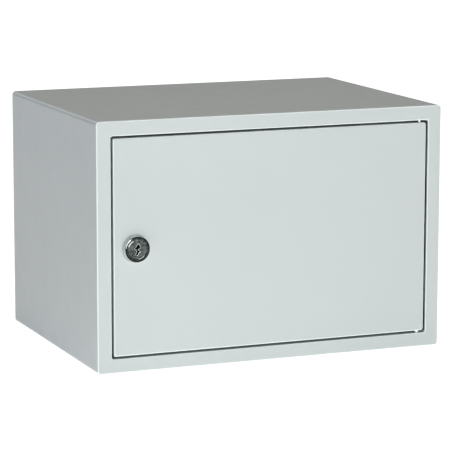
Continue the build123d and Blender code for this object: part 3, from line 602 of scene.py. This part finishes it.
def head_shape():
    """Where the head's flank ends and its rounded rim begins: the rim's arc as radius and place along Y."""
    front, seat = BARREL_LOW.y, DOOR_LOW.y
    base = (BARREL_HIGH.x - BARREL_LOW.x) / 2
    lean = math.atan2(HEAD_TAPER, seat - front)
    level = front + HEAD_ROUNDING
    flank = base - HEAD_TAPER * (seat - level) / (seat - front)
    middle = flank - HEAD_ROUNDING / math.cos(lean)
    turn = arc((middle, -level), HEAD_ROUNDING, math.degrees(lean), 90.0, 12)
    return base, [(radius, -y) for radius, y in turn]


def lock_collar():
    """The head's tapered flank, and the threaded and flatted barrel behind it."""
    back, seat = BARREL_HIGH.y, DOOR_LOW.y
    base, rim = head_shape()
    bore_floor = PLUG_LOW.y + FACE_DEPTH + 0.2 * MM
    profile = [(base - 0.15 * MM, seat), (base, seat - 0.15 * MM)]
    profile += rim[:4]
    profile += [
        (MOUTH_RADIUS + 0.1 * MM, rim[3][1]),
        (MOUTH_RADIUS + 0.1 * MM, bore_floor),
        (BORE_RADIUS, bore_floor),
        (BORE_RADIUS, back),
        (BARREL_RADIUS - THREAD_DEPTH, back),
    ]
    thread_start = seat + 2.0 * MM
    turns = int((back - thread_start) / THREAD_PITCH)
    for i in range(turns):
        y = back - i * THREAD_PITCH
        profile += [(BARREL_RADIUS, y - 0.4 * THREAD_PITCH), (BARREL_RADIUS, y - 0.6 * THREAD_PITCH)]
        profile += [(BARREL_RADIUS - THREAD_DEPTH, y - THREAD_PITCH)]
    profile += [(BARREL_RADIUS, thread_start), (BARREL_RADIUS, seat)]
    mesh = bmesh.new()
    turned(mesh, profile, True, LOCK_SEGMENTS, BARREL_HALF_WIDTH)
    rest_on(as_piece(mesh, "lock_collar"), "door", "lock_chrome", ["lock_barrel"])


def lock_rim():
    """The polished rim of the head, with a chamfer down to the plug."""
    front = BARREL_LOW.y
    rim = head_shape()[1]
    seat = PLUG_LOW.y + FACE_DEPTH
    profile = rim[3:]
    profile += [
        (MOUTH_RADIUS + MOUTH_CHAMFER, front),
        (MOUTH_RADIUS, front + MOUTH_CHAMFER),
        (MOUTH_RADIUS, seat),
        (MOUTH_RADIUS + 0.09 * MM, seat),
        (MOUTH_RADIUS + 0.09 * MM, rim[3][1]),
    ]
    mesh = bmesh.new()
    turned(mesh, profile, True, LOCK_SEGMENTS)
    # The rim takes the lock face's material: painted near-black as painted dark reflection, with painted
    # highlight arcs.
    rest_on(as_piece(mesh, "lock_rim"), "door", "lock_face", ["lock_barrel"])


def lock_core():
    """The plug: a face disc with the keyway through it, a stem, and the square that holds the cam."""
    front, back = PLUG_LOW.y, PLUG_HIGH.y
    shoulder = front + FACE_DEPTH
    pit = front + KEYWAY_DEPTH
    stem_end = BARREL_HIGH.y
    hole = [(x * 1.40 * MM, z * 1.08 * MM) for x, z in KEYWAY]
    mesh = bmesh.new()
    pierced_disc(mesh, FACE_RADIUS, hole, front, shoulder, 0.3 * MM)
    pierced_disc(mesh, STEM_RADIUS, hole, shoulder, pit, 0.02 * MM)
    turned(mesh, [(0, pit), (STEM_RADIUS, pit), (STEM_RADIUS, stem_end), (0, stem_end)], False)
    half = SQUARE_HALF
    low = (LOCK_X - half, stem_end, LOCK_Z - half)
    high = (LOCK_X + half, back, LOCK_Z + half)
    box_between(mesh, low, high, 0.3 * MM)
    # The plug takes the lock face's material: painted dark reflection on its face, and near-black down the
    # keyway as painted shade.
    rest_on(as_piece(mesh, "lock_core"), "lock_plug", "lock_face", ["lock_plug"])


def keyway_edge():
    """The bright edge round the keyway, worn by rubbing."""
    curve = bpy.data.curves.new("keyway", "CURVE")
    curve.dimensions = "3D"
    curve.bevel_depth = 0.20 * MM
    curve.bevel_resolution = 3
    spline = curve.splines.new("POLY")
    spline.points.add(len(KEYWAY) - 1)
    for point, (x, z) in zip(spline.points, KEYWAY):
        point.co = (LOCK_X + x * 1.46 * MM, PLUG_LOW.y + 0.10 * MM, LOCK_Z + z * 1.13 * MM, 1.0)
    spline.use_cyclic_u = True
    holder = bpy.data.objects.new("keyway", curve)
    made = bpy.data.meshes.new_from_object(holder)
    mesh = bmesh.new()
    mesh.from_mesh(made)
    bpy.data.objects.remove(holder)
    rest_on(as_piece(mesh, "keyway_edge"), "lock_plug", "lock_chrome")


def lock_wafers():
    """Thin wafers that stand into the keyway, one behind another."""
    mesh = bmesh.new()
    for i in range(WAFER_COUNT):
        y = PLUG_LOW.y + WAFER_DEPTH + WAFER_PITCH * i
        rise = (0.9 if i % 2 else -0.6) * MM
        low = (LOCK_X - 1.9 * MM, y, LOCK_Z - 1.6 * MM + rise)
        high = (LOCK_X + 1.9 * MM, y + WAFER_THICKNESS, LOCK_Z + 0.2 * MM + rise)
        box_between(mesh, low, high, 0.08 * MM)
    # The wafers take the lock face's near-black material in place of brass: painted shade deep in the
    # keyway.
    rest_on(as_piece(mesh, "lock_wafers"), "lock_plug", "lock_face")


make_camera()
make_lights()
make_floor()
MATERIALS = make_materials()
dress_nodes(MATERIALS)
mat_ribs()
port_contacts()
lock_collar()
lock_rim()
lock_core()
keyway_edge()
lock_wafers()

bpy.context.scene.view_settings.view_transform = "Standard"
